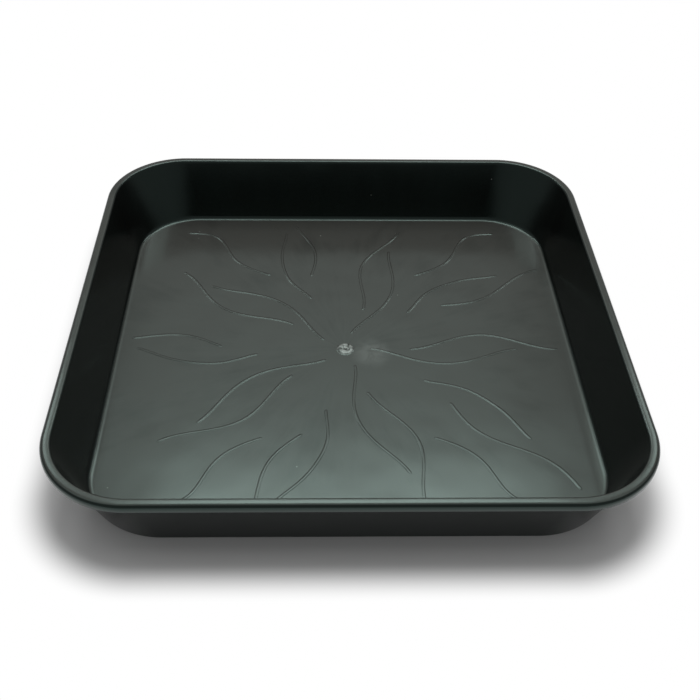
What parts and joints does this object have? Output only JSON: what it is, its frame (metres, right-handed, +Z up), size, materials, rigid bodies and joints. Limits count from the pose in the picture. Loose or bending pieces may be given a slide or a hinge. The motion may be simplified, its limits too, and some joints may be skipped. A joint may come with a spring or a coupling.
{
  "type": "square plant saucer",
  "caption": "Square plastic plant saucer with rounded corners, leaning walls, a turned-down rim and low wavy ribs that radiate over the floor to hold a pot clear of the water.",
  "frame": {"origin": "middle of the plane that the foot stands on, under the gate mark", "axes": "+Z up out of the open mouth; X and Y along the two pairs of walls"},
  "size_m": [0.4, 0.4, 0.0565],
  "materials": {
    "black_polypropylene": "satin, finely textured as moulded"
  },
  "bodies": {
    "root": {"saucer": "black_polypropylene"}
  },
  "joints": []
}
